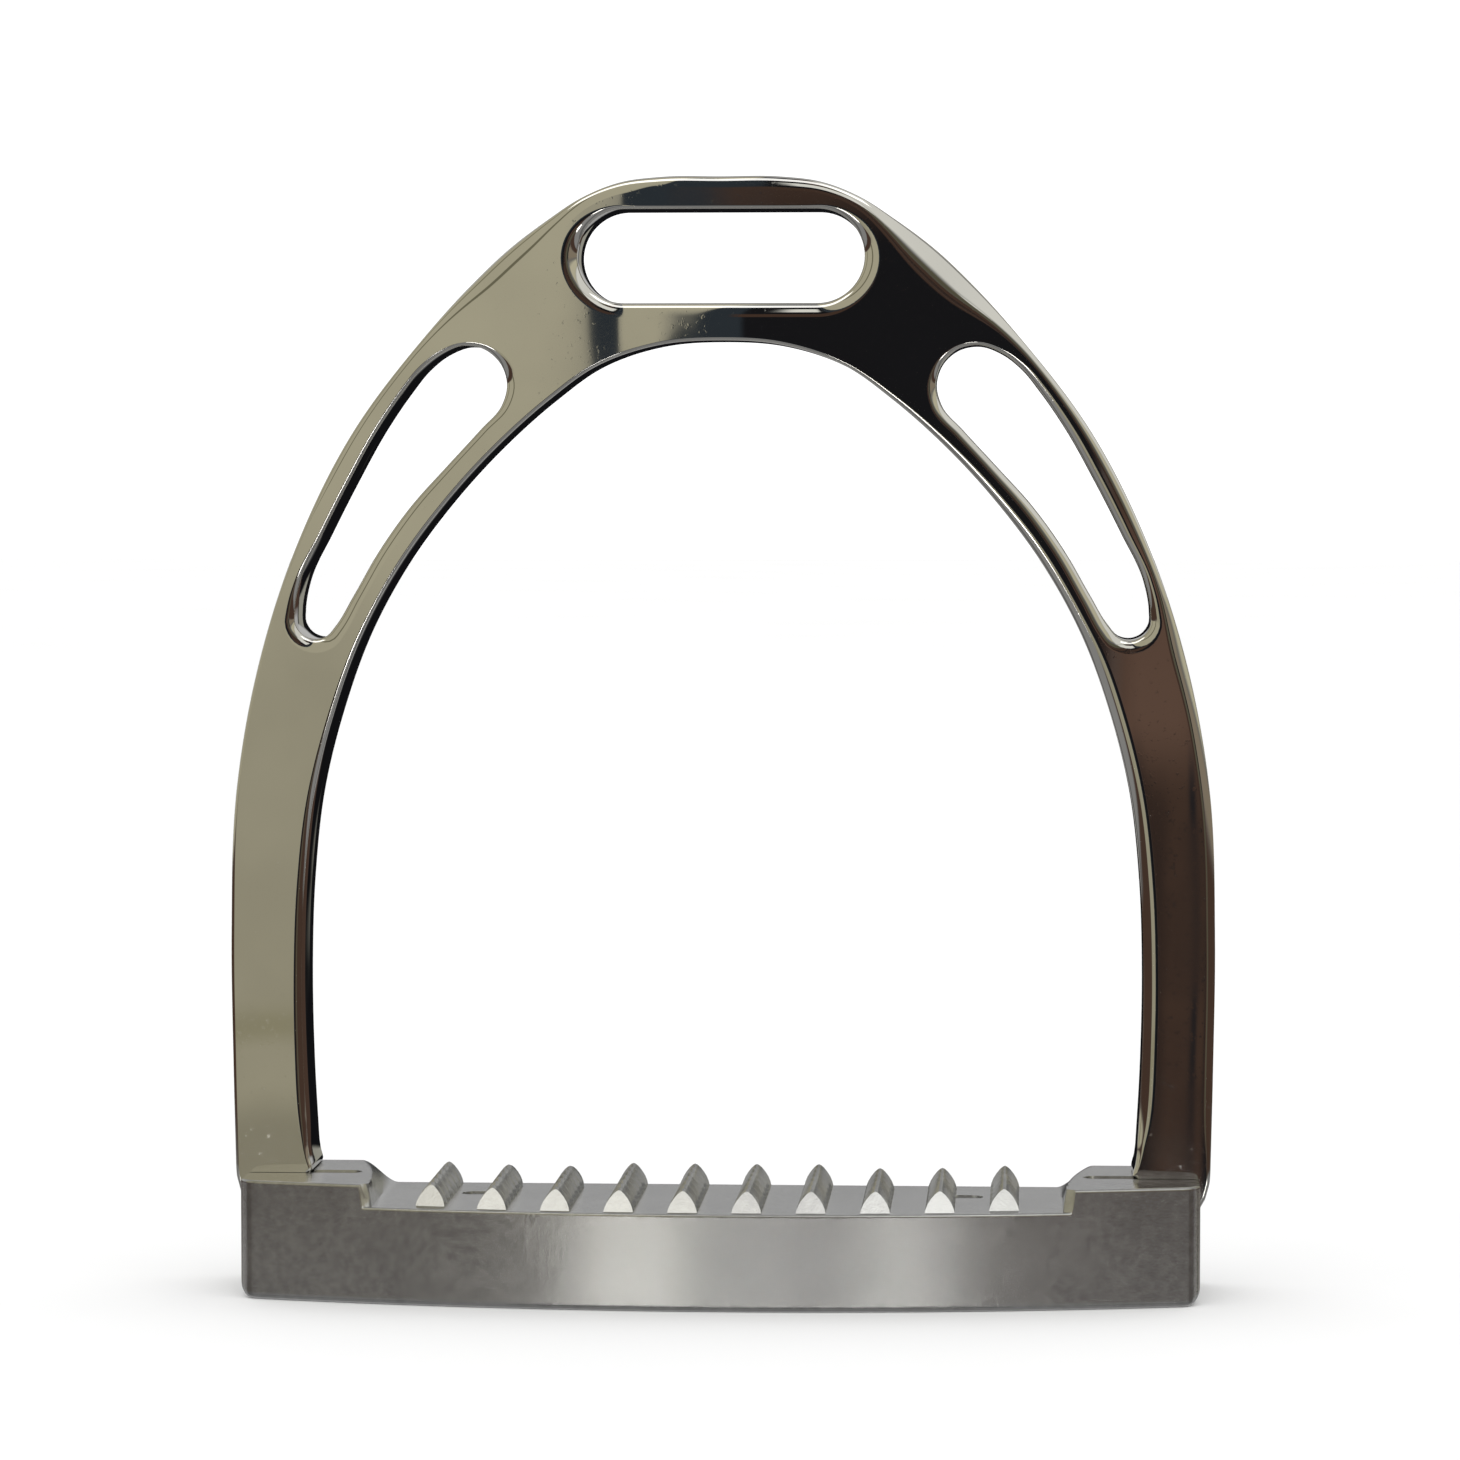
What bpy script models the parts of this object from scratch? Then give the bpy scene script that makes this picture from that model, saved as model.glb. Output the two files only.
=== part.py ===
"""A stirrup iron: a polished steel bow, seated in a machined aluminium footrest.

The bow is one piece: an arch with the eye for the stirrup leather and a long slot in each
shoulder, and two legs. Each leg stands in a pocket that is open at the end of the footrest,
and one cap screw with a spring lock washer pulls it down from below.

Frame: +X runs across the iron, +Z up, and the curved front of the footrest faces -Y.
The origin is under the middle of the whole iron, on the plane that it stands on.
Lengths below are in millimetres, and MM turns them into Blender's metres.
"""

import math

import bmesh
import bpy
from mathutils import Vector
from mathutils.geometry import tessellate_polygon

MM = 0.001

# The whole iron
IRON_HEIGHT = 160.0
BOW_HALF_WIDTH = 70.6
IRON_DEPTH = 31.5
GAP = 0.3

# Bow
BOW_DEPTH = 12.5
BOW_Y = 7.25
BOW_ROUNDING = 0.6
EYE_LENGTH = 41.0
EYE_HEIGHT = 13.4
EYE_Z = 148.7
ARCH_INNER_Z = 136.7
LEG_INNER_X = 59.6
FOOT_INNER_X = 59.5
FOOT_OUTER_X = 68.4

# Footrest
TREAD_HALF_LENGTH = 68.5
TREAD_BACK_Y = IRON_DEPTH / 2
TREAD_FRONT_Y = -IRON_DEPTH / 2
TREAD_FRONT_BULGE = 8.75
TREAD_ROUNDING = 0.8
END_ROUNDING = 2.4
BLOCK_Z = 17.0
FLOOR_Z = 13.8
STEP_X_FRONT = (49.6, 50.2)
STEP_X_BACK = (48.6, 53.6)
FRONT_CORNER_RADIUS = 2.5
BACK_CORNER_RADIUS = 1.6

# Ridges of the footrest
RIDGES = 10
RIDGE_PITCH = 9.05
RIDGE_WIDTH = 4.2
RIDGE_HEIGHT = 3.1
RIDGE_CREST = 0.5
RIDGE_FRONT_INSET = 1.6
END_RIDGE_INSET = 3.2
RIDGE_FRONT_LEAN = 1.6
RIDGE_BACK_INSET = 0.5

# Relief slots in the top of the footrest
SLOT_WIDTH = 2.8
SLOT_DEPTH = 4.0
END_SLOT_X = (52.2, 61.0)
END_SLOT_Y = 2.6
FLOOR_SLOT_X = (32.6, 37.5)
FLOOR_SLOT_Y = 4.4

# Screw joint under each leg
JOINT_X = 63.4
POCKET_FLOOR_Z = 10.4
WEB = 3.0
SCREW_DIAMETER = 4.0
SCREW_LENGTH = 12.0
HEAD_DIAMETER = 7.0
HEAD_HEIGHT = 4.0
KEY_ACROSS_FLATS = 3.0
KEY_DEPTH = 2.0
COUNTERBORE_DIAMETER = 7.8
WASHER_DIAMETER = 7.0
WASHER_THICKNESS = 1.0
WASHER_SPLIT_DEG = 14.0


def clear_scene():
    for obj in list(bpy.data.objects):
        bpy.data.objects.remove(obj, do_unlink=True)


def make_material(name, colour, metallic, roughness):
    material = bpy.data.materials.new(name)
    material.use_nodes = True
    shader = material.node_tree.nodes["Principled BSDF"]
    shader.inputs["Base Color"].default_value = (*colour, 1.0)
    shader.inputs["Metallic"].default_value = metallic
    shader.inputs["Roughness"].default_value = roughness
    return material


def add_object(name, mesh_data, material):
    mesh = bpy.data.meshes.new(name)
    mesh_data.to_mesh(mesh)
    mesh_data.free()
    obj = bpy.data.objects.new(name, mesh)
    bpy.context.scene.collection.objects.link(obj)
    if material:
        mesh.materials.append(material)
        mesh.shade_smooth()
        mesh.set_sharp_from_angle(angle=math.radians(35))
    return obj


def use_as_cutter(target, cutter, operation="DIFFERENCE"):
    """Cuts, joins or trims the target with a helper object that stays hidden."""
    cutter.hide_render = True
    cutter.display_type = "WIRE"
    modifier = target.modifiers.new(cutter.name, "BOOLEAN")
    modifier.object = cutter
    modifier.operation = operation
    modifier.solver = "EXACT"


# Outlines are lists of (u, v) pairs


def arc(centre, radius, start_deg, end_deg, steps):
    """Points on a circular arc, both ends included."""
    points = []
    for i in range(steps + 1):
        angle = math.radians(start_deg + (end_deg - start_deg) * i / steps)
        points.append((centre[0] + radius * math.cos(angle), centre[1] + radius * math.sin(angle)))
    return points


def smooth_curve(points, steps, closed=False):
    """A cubic curve through the points, with this many steps between neighbours."""
    knots = [Vector(p) for p in points]
    count = len(knots)
    tangents = []
    for i in range(count):
        before = knots[i - 1] if closed or i else knots[i]
        after = knots[(i + 1) % count] if closed or i < count - 1 else knots[i]
        back = (knots[i] - before).length
        ahead = (after - knots[i]).length
        if not back or not ahead:
            tangents.append((after - before).normalized())
            continue
        slope = (knots[i] - before) / back * ahead + (after - knots[i]) / ahead * back
        tangents.append(slope / (back + ahead))
    curve = []
    for i in range(count if closed else count - 1):
        j = (i + 1) % count
        span = (knots[j] - knots[i]).length
        for k in range(steps):
            t = k / steps
            curve.append(
                (2 * t**3 - 3 * t**2 + 1) * knots[i]
                + (t**3 - 2 * t**2 + t) * span * tangents[i]
                + (3 * t**2 - 2 * t**3) * knots[j]
                + (t**3 - t**2) * span * tangents[j]
            )
    if not closed:
        curve.append(knots[-1])
    return [tuple(p) for p in curve]


def mirrored(points):
    """The points of the other half, in the order that carries the outline on."""
    return [(-u, v) for u, v in reversed(points)]


def signed_area(outline):
    pairs = zip(outline, outline[1:] + outline[:1])
    return sum(a[0] * b[1] - b[0] * a[1] for a, b in pairs) / 2


def inset(outline, distance):
    """The outline moved to its left, which is inwards on a loop that runs anticlockwise."""
    moved = []
    count = len(outline)
    for i in range(count):
        here = Vector(outline[i])
        into = (here - Vector(outline[i - 1])).normalized()
        out = (Vector(outline[(i + 1) % count]) - here).normalized()
        normal = Vector((-into.y - out.y, into.x + out.x)).normalized()
        mitre = max(normal.dot(Vector((-into.y, into.x))), 0.5)
        moved.append(tuple(here + normal * (distance / mitre)))
    return moved


def plate(loops, low, high, rounding, place, rounding_steps=3):
    """A plate between two heights, with rounded edges.

    The first loop is the outside and the others are holes. place turns (u, v, height) into
    (x, y, z) in millimetres, and keeps the handedness of the axes.
    """
    outlines = []
    for i, loop in enumerate(loops):
        anticlockwise = signed_area(loop) > 0
        outlines.append(loop if anticlockwise == (i == 0) else loop[::-1])
    layers = []
    for k in range(rounding_steps + 1 if rounding else 1):
        angle = math.pi / 2 * k / rounding_steps
        layers.append((rounding * (1 - math.sin(angle)), rounding * (1 - math.cos(angle))))
    heights = [(shift, low + rise) for shift, rise in layers]
    heights += [(shift, high - rise) for shift, rise in reversed(layers)]
    bm = bmesh.new()
    rings = [[], []]
    for outline in outlines:
        stack = []
        for shift, height in heights:
            flat = inset(outline, shift)
            stack.append([bm.verts.new(Vector(place(u, v, height)) * MM) for u, v in flat])
        for lower, upper in zip(stack, stack[1:]):
            for i in range(len(lower)):
                j = (i + 1) % len(lower)
                bm.faces.new((lower[i], lower[j], upper[j], upper[i]))
        rings[0].append(stack[0])
        rings[1].append(stack[-1])
    for side in rings:
        verts = [vert for ring in side for vert in ring]
        for triangle in tessellate_polygon([[vert.co for vert in ring] for ring in side]):
            bm.faces.new([verts[i] for i in triangle])
    bmesh.ops.recalc_face_normals(bm, faces=bm.faces)
    return bm


def turned(profile, centre, sides=32):
    """A solid of revolution about a vertical line: (radius, z) pairs from axis to axis."""
    bm = bmesh.new()
    rings = []
    for radius, z in profile:
        if radius:
            ring = arc(centre, radius, 0, 360 * (sides - 1) / sides, sides - 1)
        else:
            ring = [centre]
        rings.append([bm.verts.new(Vector((x, y, z)) * MM) for x, y in ring])
    for lower, upper in zip(rings, rings[1:]):
        for i in range(sides):
            j = (i + 1) % sides
            corners = [lower[i % len(lower)], lower[j % len(lower)]]
            corners += [upper[j % len(upper)], upper[i % len(upper)]]
            bm.faces.new(list(dict.fromkeys(corners)))
    bmesh.ops.recalc_face_normals(bm, faces=bm.faces)
    return bm


def upright(u, v, height):
    """Places an outline drawn in X and Z, with its thickness along Y."""
    return (u, height, v)


def level(u, v, height):
    """Places an outline drawn in X and Y, with its thickness along Z."""
    return (u, v, height)


# Bow


def bow_outline():
    """The outside of the bow and the inside of its arch, as one loop."""
    outer = [(0, IRON_HEIGHT), (8.5, 159.95), (14.3, 159.2), (20.1, 156.9), (24.6, 154.0)]
    outer += [(30.4, 149.7), (36.1, 144.3), (42.8, 136.8), (52.6, 123.9), (61.2, 106.8)]
    outer += [(66.9, 88.8), (69.8, 72.2), (BOW_HALF_WIDTH, 52.0), (70.4, 32.0), (70.1, 17.6)]
    inner = [(LEG_INNER_X, 20.5), (60.2, 32.0), (60.45, 46.0), (60.0, 59.0), (58.5, 72.0)]
    inner += [(55.6, 83.5), (51.4, 94.9), (46.05, 104.6), (39.7, 113.2), (31.8, 121.8)]
    inner += [(24.45, 128.3), (18.0, 132.9), (8.5, 136.1), (0, ARCH_INNER_Z)]
    foot_z = POCKET_FLOOR_Z + GAP
    collar_z = BLOCK_Z + GAP
    foot = [(70.0, 16.4), (69.4, 14.2), (FOOT_OUTER_X, 12.4), (FOOT_OUTER_X, foot_z)]
    foot += [(FOOT_INNER_X, foot_z), (FOOT_INNER_X, collar_z)]
    foot += [(59.0, collar_z), (59.1, 18.0), (59.4, 19.0)]
    steps = 4
    outside = smooth_curve(mirrored(outer)[:-1] + outer, steps)
    inside = smooth_curve(inner[:-1] + mirrored(inner), steps)
    return outside + foot + inside + mirrored(foot)


def eye_outline():
    """The opening for the stirrup leather, with half-round ends."""
    radius = EYE_HEIGHT / 2
    reach = EYE_LENGTH / 2 - radius
    right = arc((reach, EYE_Z), radius, -90, 90, 14)
    return right + mirrored(right)


def side_slot_outline():
    """The long slot in the right shoulder: wide and round above, narrow below."""
    points = arc((36.3, 130.3), 5.7, 85, 210, 4)
    points += [(34.4, 124.0), (39.4, 118.6), (44.3, 113.2), (49.0, 106.7), (52.7, 100.3)]
    points += arc((58.25, 97.1), 3.1, 205, 375, 5)
    points += [(60.4, 102.4), (57.3, 108.9), (53.4, 116.5), (49.2, 124.0), (45.5, 129.4)]
    points += [(42.9, 132.6), (40.1, 134.8)]
    return smooth_curve(points, 3, closed=True)


def make_bow(material):
    slot = side_slot_outline()
    loops = [bow_outline(), eye_outline(), slot, mirrored(slot)]
    near, far = BOW_Y - BOW_DEPTH / 2, BOW_Y + BOW_DEPTH / 2
    bow = add_object("bow", plate(loops, near, far, BOW_ROUNDING, upright), material)
    for side, x in (("left", -JOINT_X), ("right", JOINT_X)):
        radius = SCREW_DIAMETER / 2 + GAP
        top = screw_head_top() + SCREW_LENGTH + 1.0
        hole = turned([(0, 5.0), (radius, 5.0), (radius, top), (0, top + 1.0)], (x, BOW_Y), 24)
        use_as_cutter(bow, add_object(f"thread_hole_{side}", hole, None))
    return bow


# Footrest


def front_radius():
    """The radius of the footrest's bulging front."""
    return (TREAD_HALF_LENGTH**2 + TREAD_FRONT_BULGE**2) / (2 * TREAD_FRONT_BULGE)


def tread_plan():
    """The footrest from above: a straight back and a front that bulges in one long arc."""
    radius = front_radius()
    front_x = TREAD_HALF_LENGTH - FRONT_CORNER_RADIUS
    back_x = TREAD_HALF_LENGTH - BACK_CORNER_RADIUS
    turn = math.degrees(math.asin(front_x / radius))
    front = arc((0, TREAD_FRONT_Y + radius), radius, -90 - turn, -90 + turn, 36)
    corner_y = front[-1][1] + FRONT_CORNER_RADIUS
    right = arc((front_x, corner_y), FRONT_CORNER_RADIUS, -75, 0, 5)
    right += arc((back_x, TREAD_BACK_Y - BACK_CORNER_RADIUS), BACK_CORNER_RADIUS, 0, 90, 5)
    return front + right + mirrored(right)


def tread_body():
    """The footrest's blank, lofted from front to back.

    The end blocks rise from the floor in a steep step in front that turns into a slope behind,
    and the ends are rounded into the underside.
    """
    sections = []
    clear = 0.12
    end = (TREAD_HALF_LENGTH - END_ROUNDING, END_ROUNDING)
    for y, (foot_x, top_x) in ((TREAD_FRONT_Y - 2, STEP_X_FRONT), (TREAD_BACK_Y + 2, STEP_X_BACK)):
        middle = ((foot_x + top_x) / 2, (BLOCK_Z + FLOOR_Z) / 2)
        half = [(0, FLOOR_Z), (foot_x, FLOOR_Z), middle, (top_x, BLOCK_Z)]
        half += [(TREAD_HALF_LENGTH + clear, BLOCK_Z)]
        half += arc(end, END_ROUNDING + clear, 0, -90, 8)
        sections.append([(x, y, z) for x, z in half + mirrored(half)[:-1]])
    bm = bmesh.new()
    rings = [[bm.verts.new(Vector(p) * MM) for p in section] for section in sections]
    for i in range(len(rings[0])):
        j = (i + 1) % len(rings[0])
        bm.faces.new((rings[0][i], rings[0][j], rings[1][j], rings[1][i]))
    for ring in rings:
        bm.faces.new(ring)
    bmesh.ops.triangulate(bm, faces=bm.faces)
    bmesh.ops.recalc_face_normals(bm, faces=bm.faces)
    return bm


def ridge(index):
    """One ridge across the footrest: its front end leans back from the arc of the front."""
    x = (index - (RIDGES - 1) / 2) * RIDGE_PITCH
    radius = front_radius()
    front_inset = END_RIDGE_INSET if index in (0, RIDGES - 1) else RIDGE_FRONT_INSET
    root = 0.8
    slope = (RIDGE_WIDTH - RIDGE_CREST) / 2 / RIDGE_HEIGHT
    levels = ((-root, RIDGE_WIDTH / 2 + root * slope), (RIDGE_HEIGHT, RIDGE_CREST / 2))
    bm = bmesh.new()
    corners = []
    for rise, half in levels:
        lean = RIDGE_FRONT_LEAN * rise / RIDGE_HEIGHT
        back_y = TREAD_BACK_Y - RIDGE_BACK_INSET - max(lean, 0) / 2
        for side in (-half, half):
            front_y = TREAD_FRONT_Y + radius - math.sqrt(radius**2 - (x + side) ** 2)
            corners.append((x + side, front_y + front_inset + lean, FLOOR_Z + rise))
            corners.append((x + side, back_y, FLOOR_Z + rise))
    verts = [bm.verts.new(Vector(p) * MM) for p in corners]
    for face in ((0, 1, 3, 2), (4, 6, 7, 5), (0, 4, 5, 1), (2, 3, 7, 6), (0, 2, 6, 4), (1, 5, 7, 3)):
        bm.faces.new([verts[i] for i in face])
    bmesh.ops.triangulate(bm, faces=bm.faces)
    bmesh.ops.recalc_face_normals(bm, faces=bm.faces)
    return bm


def box_outline(x_from, x_to, y_from, y_to):
    return [(x_from, y_from), (x_to, y_from), (x_to, y_to), (x_from, y_to)]


def relief_slot(x_from, x_to, y, top):
    """A slot with half-round ends, cut down from this height."""
    radius = SLOT_WIDTH / 2
    outline = arc((x_to - radius, y), radius, -90, 90, 8)
    outline += arc((x_from + radius, y), radius, 90, 270, 8)
    return plate([outline], top - SLOT_DEPTH, top + 1.0, 0, level)


def make_footrest(material):
    footrest = add_object("footrest", tread_body(), material)
    plan = plate([tread_plan()], 0.0, BLOCK_Z + TREAD_ROUNDING, TREAD_ROUNDING, level)
    use_as_cutter(footrest, add_object("footrest_plan", plan, None), "INTERSECT")
    near = BOW_Y - BOW_DEPTH / 2 - GAP
    far = BOW_Y + BOW_DEPTH / 2 + GAP
    for side, sign in (("left", -1), ("right", 1)):
        ends = sorted((sign * (FOOT_INNER_X - GAP), sign * (TREAD_HALF_LENGTH + 4)))
        pocket = plate([box_outline(*ends, near, far)], POCKET_FLOOR_Z, BLOCK_Z + 2, 0, level)
        use_as_cutter(footrest, add_object(f"leg_pocket_{side}", pocket, None))
        wide = COUNTERBORE_DIAMETER / 2
        narrow = SCREW_DIAMETER / 2 + GAP
        seat = POCKET_FLOOR_Z - WEB
        profile = [(0, -1), (wide, -1), (wide, seat), (narrow, seat), (narrow, 12), (0, 12)]
        bore = turned(profile, (sign * JOINT_X, BOW_Y))
        use_as_cutter(footrest, add_object(f"screw_bore_{side}", bore, None))
        for name, (x_from, x_to), y, top in (
            ("end_slot", END_SLOT_X, END_SLOT_Y, BLOCK_Z),
            ("floor_slot", FLOOR_SLOT_X, FLOOR_SLOT_Y, FLOOR_Z),
        ):
            ends = sorted((sign * x_from, sign * x_to))
            cutter = add_object(f"{name}_{side}", relief_slot(*ends, y, top), None)
            use_as_cutter(footrest, cutter)
    for i in range(RIDGES):
        use_as_cutter(footrest, add_object(f"ridge_{i + 1}", ridge(i), None), "UNION")


# Screws and washers


def screw_head_top():
    return POCKET_FLOOR_Z - WEB - GAP - WASHER_THICKNESS - GAP


def make_screw(side, x, material):
    """A socket-head cap screw, head down, with its hexagon socket facing the ground."""
    top = screw_head_top()
    bottom = top - HEAD_HEIGHT
    head = HEAD_DIAMETER / 2
    shank = SCREW_DIAMETER / 2
    tip = top + SCREW_LENGTH
    chamfer = 0.5
    profile = [(0, bottom), (head - chamfer, bottom), (head, bottom + chamfer), (head, top)]
    profile += [(shank, top), (shank, tip - chamfer), (shank - chamfer, tip), (0, tip)]
    screw = add_object(f"foot_screw_{side}", turned(profile, (x, BOW_Y)), material)
    key = KEY_ACROSS_FLATS / math.sqrt(3)
    floor = bottom + KEY_DEPTH
    socket = turned([(0, bottom - 1), (key, bottom - 1), (key, floor), (0, floor + 1)], (x, BOW_Y), 6)
    use_as_cutter(screw, add_object(f"key_socket_{side}", socket, None))
    return screw


def make_washer(side, x, material):
    """A spring lock washer: a flat split ring around the screw."""
    inner = SCREW_DIAMETER / 2 + GAP
    outer = WASHER_DIAMETER / 2
    start = WASHER_SPLIT_DEG / 2
    rim = arc((x, BOW_Y), outer, start, 360 - start, 30)
    bore = arc((x, BOW_Y), inner, 360 - start, start, 30)
    low = screw_head_top() + GAP
    body = plate([rim + bore], low, low + WASHER_THICKNESS, 0, level)
    return add_object(f"lock_washer_{side}", body, material)


def main():
    clear_scene()
    polished = make_material("polished_steel", (0.66, 0.64, 0.59), 1.0, 0.08)
    aluminium = make_material("satin_aluminium", (0.62, 0.62, 0.61), 1.0, 0.38)
    zinc = make_material("zinc_plated_steel", (0.55, 0.56, 0.58), 1.0, 0.3)
    spring = make_material("spring_steel", (0.33, 0.33, 0.34), 1.0, 0.42)
    make_bow(polished)
    make_footrest(aluminium)
    for side, x in (("left", -JOINT_X), ("right", JOINT_X)):
        make_screw(side, x, zinc)
        make_washer(side, x, spring)


main()
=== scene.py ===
"""The stirrup iron's looks: a polished steel bow and a satin aluminium footrest in a pale studio.

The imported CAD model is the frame. The bow and the footrest are replaced by fine meshes of the
same shape and size; the screws and washers keep their CAD shape and get better materials.
Lengths named here are in millimetres, apart from the studio's, and MM turns them into metres.
"""

import math

import bmesh
import bpy
import numpy as np
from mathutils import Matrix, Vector
from mathutils.geometry import delaunay_2d_cdt


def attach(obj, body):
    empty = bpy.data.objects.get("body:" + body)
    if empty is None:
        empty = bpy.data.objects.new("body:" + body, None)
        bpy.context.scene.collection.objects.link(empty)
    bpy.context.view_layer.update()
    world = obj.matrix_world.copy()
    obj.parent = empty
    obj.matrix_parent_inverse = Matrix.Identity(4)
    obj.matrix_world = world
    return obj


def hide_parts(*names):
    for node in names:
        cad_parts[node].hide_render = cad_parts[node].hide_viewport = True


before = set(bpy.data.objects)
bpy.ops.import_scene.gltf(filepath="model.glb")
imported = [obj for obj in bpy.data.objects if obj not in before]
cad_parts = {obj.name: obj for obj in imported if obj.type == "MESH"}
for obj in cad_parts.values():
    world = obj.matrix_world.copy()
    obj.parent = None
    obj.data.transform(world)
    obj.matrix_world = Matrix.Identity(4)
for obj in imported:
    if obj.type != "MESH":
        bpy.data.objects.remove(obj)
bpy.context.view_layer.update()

MM = 0.001

# The bow, as in the CAD model
IRON_HEIGHT = 160.0
BOW_HALF_WIDTH = 70.6
BOW_DEPTH = 12.5
BOW_Y = 7.25
EYE_LENGTH = 41.0
EYE_HEIGHT = 13.4
EYE_Z = 148.7
ARCH_INNER_Z = 136.7
LEG_INNER_X = 59.6
FOOT_INNER_X = 59.5
FOOT_OUTER_X = 68.4
FOOT_Z = 10.7
COLLAR_Z = 17.3

# How far in the polishing has rounded the bow's edges. The reaches in brackets go with
# FACING_UP: how far an edge faces up, from -1 to 1.
FACING_UP = (-0.85, -0.45, 0.2, 0.6)
OUTER_LEFT_REACH = (0.45, 2.0, 2.1, 4.4)
OUTER_RIGHT_REACH = (0.45, 0.5, 1.6, 4.4)
EYE_REACH = (0.45, 2.4, 2.6, 2.0)
SIDE_SLOT_REACH = 2.2
EDGE_REACH = 0.45
LEAST_REACH = 0.04
LEG_FOOT_Z = 22.0
CROWN_STEEPNESS = 0.3
CROWN_DROP = 0.8 * EDGE_REACH

# The rounding's share of the widest circle that fits in the metal beside an edge: the share
# aimed at, and the most that is left of it after the reaches are blurred along the edge
AIMED_SHARE = 0.82
LARGEST_SHARE = 0.92
BLUR_PASSES = 60
OPEN_METAL = 99.0

# The bow's mesh: steps along its edges and across its faces, the clear gap inside a face's
# edges as a share of a step, and a thin flat ring that keeps the faces' shading apart from the
# rounded edges
BOW_STEP = 0.55
ROUNDING_STEPS = 12
FACE_STEP = 2.4
FACE_ROW_STEP = 0.866 * FACE_STEP
FACE_GAP = 0.45
FACE_MARGIN = 1.06

# The footrest, as in the CAD model. A slot is (x from, x to, y).
HALF_LENGTH = 68.5
BACK_Y = 15.75
FRONT_Y = -15.75
FRONT_BULGE = 8.75
FRONT_CORNER = 2.5
BACK_CORNER = 1.6
END_ROUNDING = 2.4
BLOCK_Z = 17.0
FLOOR_Z = 13.8
POCKET_FLOOR_Z = 10.4
POCKET_X = 59.2
POCKET_Y = (0.7, 13.8)
END_SLOT = (52.2, 61.0, 2.6)
FLOOR_SLOT = (32.6, 37.5, 4.4)
SLOT_WIDTH = 2.8
SLOT_DEPTH = 4.0
SLOT_WALL = 0.22
JOINT_X = 63.4
COUNTERBORE_RADIUS = 3.9
SCREW_HOLE_RADIUS = 2.3
SCREW_SEAT_Z = 7.4

# The end blocks' inner walls: upright in front, where a small facet leads in, and a slope behind
WALL_X = 49.1
WALL_SHIFT = 1.0
WALL_WIDTH = 0.3
FRONT_FACET = 1.3
FRONT_FACET_DEPTH = 1.2
BACK_SLOPE = 5.4

# The footrest's rounded edges
EDGE_ROUNDING = 0.55
BLOCK_FRONT_ROUNDING = 0.6 * EDGE_ROUNDING
MIDDLE_FRONT_ROUNDING = 0.35
MIDDLE_X = 44.5
MIDDLE_FADE = 2.2
BOTTOM_ROUNDING = 0.7
BOTTOM_STEPS = 7
BOTTOM_MARGIN = 0.1
BORE_CHAMFER = 0.3

# The ridges: half of the section as (x, height above the floor), and the teeth across them
RIDGES = 10
RIDGE_PITCH = 9.05
RIDGE_HEIGHT = 3.1
RIDGE_SECTION = [(2.1, -0.8), (2.1, 0.0), (1.98, 0.55), (1.7, 1.25)]
RIDGE_SECTION += [(1.27, 1.95), (0.75, 2.6), (0.3, 2.98)]
RIDGE_FRONT_INSET = 1.5
END_RIDGE_INSET = 3.1
RIDGE_FRONT_LEAN = 1.6
RIDGE_BACK_INSET = 0.5
FIRST_TOOTH = 2.1
TOOTH_PITCH = 4.4
TOOTH_STEP = 0.55
TOOTH_SHRINK = 0.81

# The footrest's mesh: rows this far in from its front and back edges, columns this far in from
# its ends, and rings down its sides, as shares of the way down and then as heights
FRONT_ROWS = (0, 0.02, 0.08, 0.18, 0.32, 0.5, 0.7, 0.95, 1.3, 1.7, 2.2, 3.1)
BACK_ROWS = (1.0, 0.7, 0.55, 0.42, 0.3, 0.18, 0.08, 0.02, 0)
END_COLUMNS = (0, 0.02, 0.08, 0.18, 0.32, 0.55, 0.8, 1.2, 1.7, 2.5)
SIDE_SHARES = (0.012, 0.12, 0.35, 0.65, 1.0)
SIDE_HEIGHTS = (2.0, 1.65, 1.3, 1.0)
FRONT_ZONE_Y = -1.0
BACK_ZONE_Y = 14.0
BACK_ROOM = 1.3
BLEND_STEPS = 21
STEP_WIDTH = 0.01
LEAST_GAP = 0.015


# Outlines are lists of (u, v) pairs


def arc(centre, radius, start_deg, end_deg, steps):
    """Points on a circular arc, both ends included."""
    points = []
    for i in range(steps + 1):
        angle = math.radians(start_deg + (end_deg - start_deg) * i / steps)
        points.append((centre[0] + radius * math.cos(angle), centre[1] + radius * math.sin(angle)))
    return points


def smooth_curve(points, steps, closed=False):
    """A cubic curve through the points, with this many steps between neighbours."""
    knots = [Vector(p) for p in points]
    count = len(knots)
    tangents = []
    for i in range(count):
        before = knots[i - 1] if closed or i else knots[i]
        after = knots[(i + 1) % count] if closed or i < count - 1 else knots[i]
        back = (knots[i] - before).length
        ahead = (after - knots[i]).length
        if not back or not ahead:
            tangents.append((after - before).normalized())
            continue
        slope = (knots[i] - before) / back * ahead + (after - knots[i]) / ahead * back
        tangents.append(slope / (back + ahead))
    curve = []
    for i in range(count if closed else count - 1):
        j = (i + 1) % count
        span = (knots[j] - knots[i]).length
        for k in range(steps):
            t = k / steps
            curve.append(
                (2 * t**3 - 3 * t**2 + 1) * knots[i]
                + (t**3 - 2 * t**2 + t) * span * tangents[i]
                + (3 * t**2 - 2 * t**3) * knots[j]
                + (t**3 - t**2) * span * tangents[j]
            )
    if not closed:
        curve.append(knots[-1])
    return [tuple(p) for p in curve]


def mirrored(points):
    return [(-u, v) for u, v in reversed(points)]


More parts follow.
